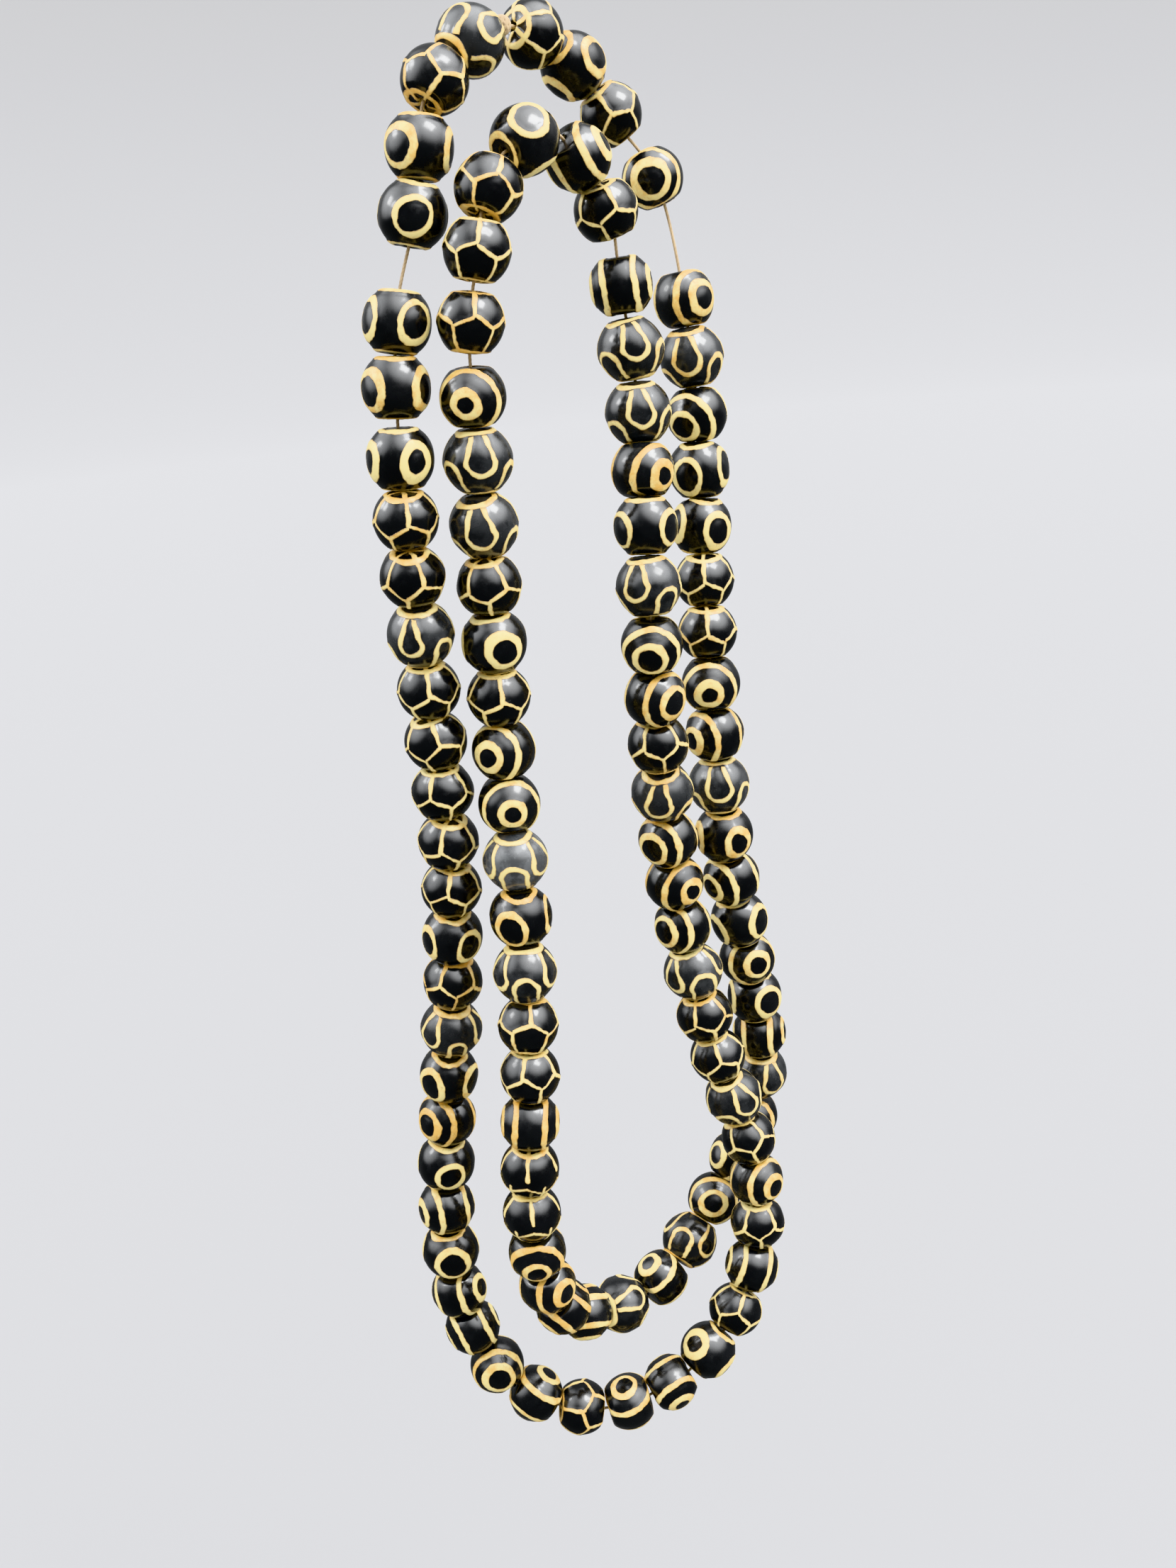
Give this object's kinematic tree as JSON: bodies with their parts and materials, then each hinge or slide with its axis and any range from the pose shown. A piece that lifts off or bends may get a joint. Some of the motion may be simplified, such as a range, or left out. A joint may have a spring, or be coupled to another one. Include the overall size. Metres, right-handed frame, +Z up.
{
  "type": "agate bead necklace",
  "caption": "Long closed string of round dark agate beads with pale carved patterns, hanging doubled in two turns.",
  "frame": {"origin": "the point that the necklace hangs from, under the crown of the inner turn", "axes": "+X to the right of the hanging necklace as seen in the picture, +Y away from the viewer, +Z up"},
  "size_m": [0.0563, 0.0413, 0.1966],
  "materials": {
    "patterned_agate": "glossy black agate with raised cream lines",
    "patterned_agate_inner": "glossy black agate with raised cream lines",
    "thread": "twisted beige thread",
    "knot": "tied beige thread"
  },
  "bodies": {
    "root": {"outer_turn_beads": "patterned_agate", "inner_turn_beads": "patterned_agate_inner", "thread": "thread", "thread_knot": "knot"}
  },
  "joints": []
}
